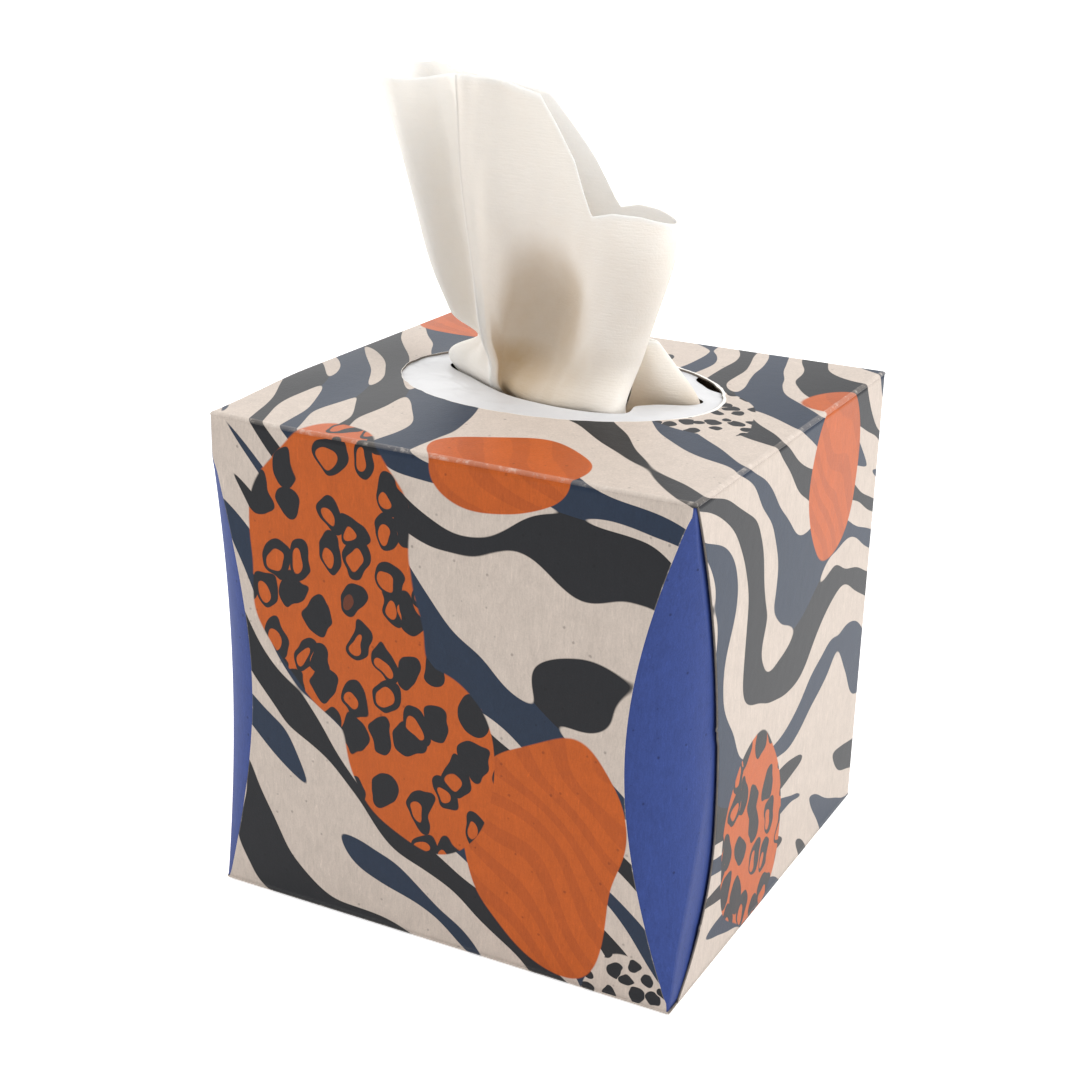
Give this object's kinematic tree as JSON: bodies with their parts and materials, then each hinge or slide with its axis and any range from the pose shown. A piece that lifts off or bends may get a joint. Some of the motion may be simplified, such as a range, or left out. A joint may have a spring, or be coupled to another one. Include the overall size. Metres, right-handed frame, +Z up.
{
  "type": "tissue box",
  "caption": "Cube-shaped card tissue box with lens-shaped front corners, an oval torn-edged opening over a slit film, and a gathered tissue standing in the slit.",
  "frame": {"origin": "middle of the base", "axes": "+Z up, +Y to the back, +X to the right of the front panel, whose lens-shaped corners are on its left and right"},
  "size_m": [0.11, 0.11, 0.1772],
  "materials": {
    "printed_card": "recycled board, printed all over, soft satin varnish",
    "white_film": "thin white film, smooth",
    "tissue_paper": "soft unbleached tissue, matt, finely creped"
  },
  "bodies": {
    "root": {"carton": "printed_card", "slit_film": "white_film", "tissue_stack": "tissue_paper", "popup_tissue": "tissue_paper", "next_tissue": "tissue_paper"}
  },
  "joints": []
}
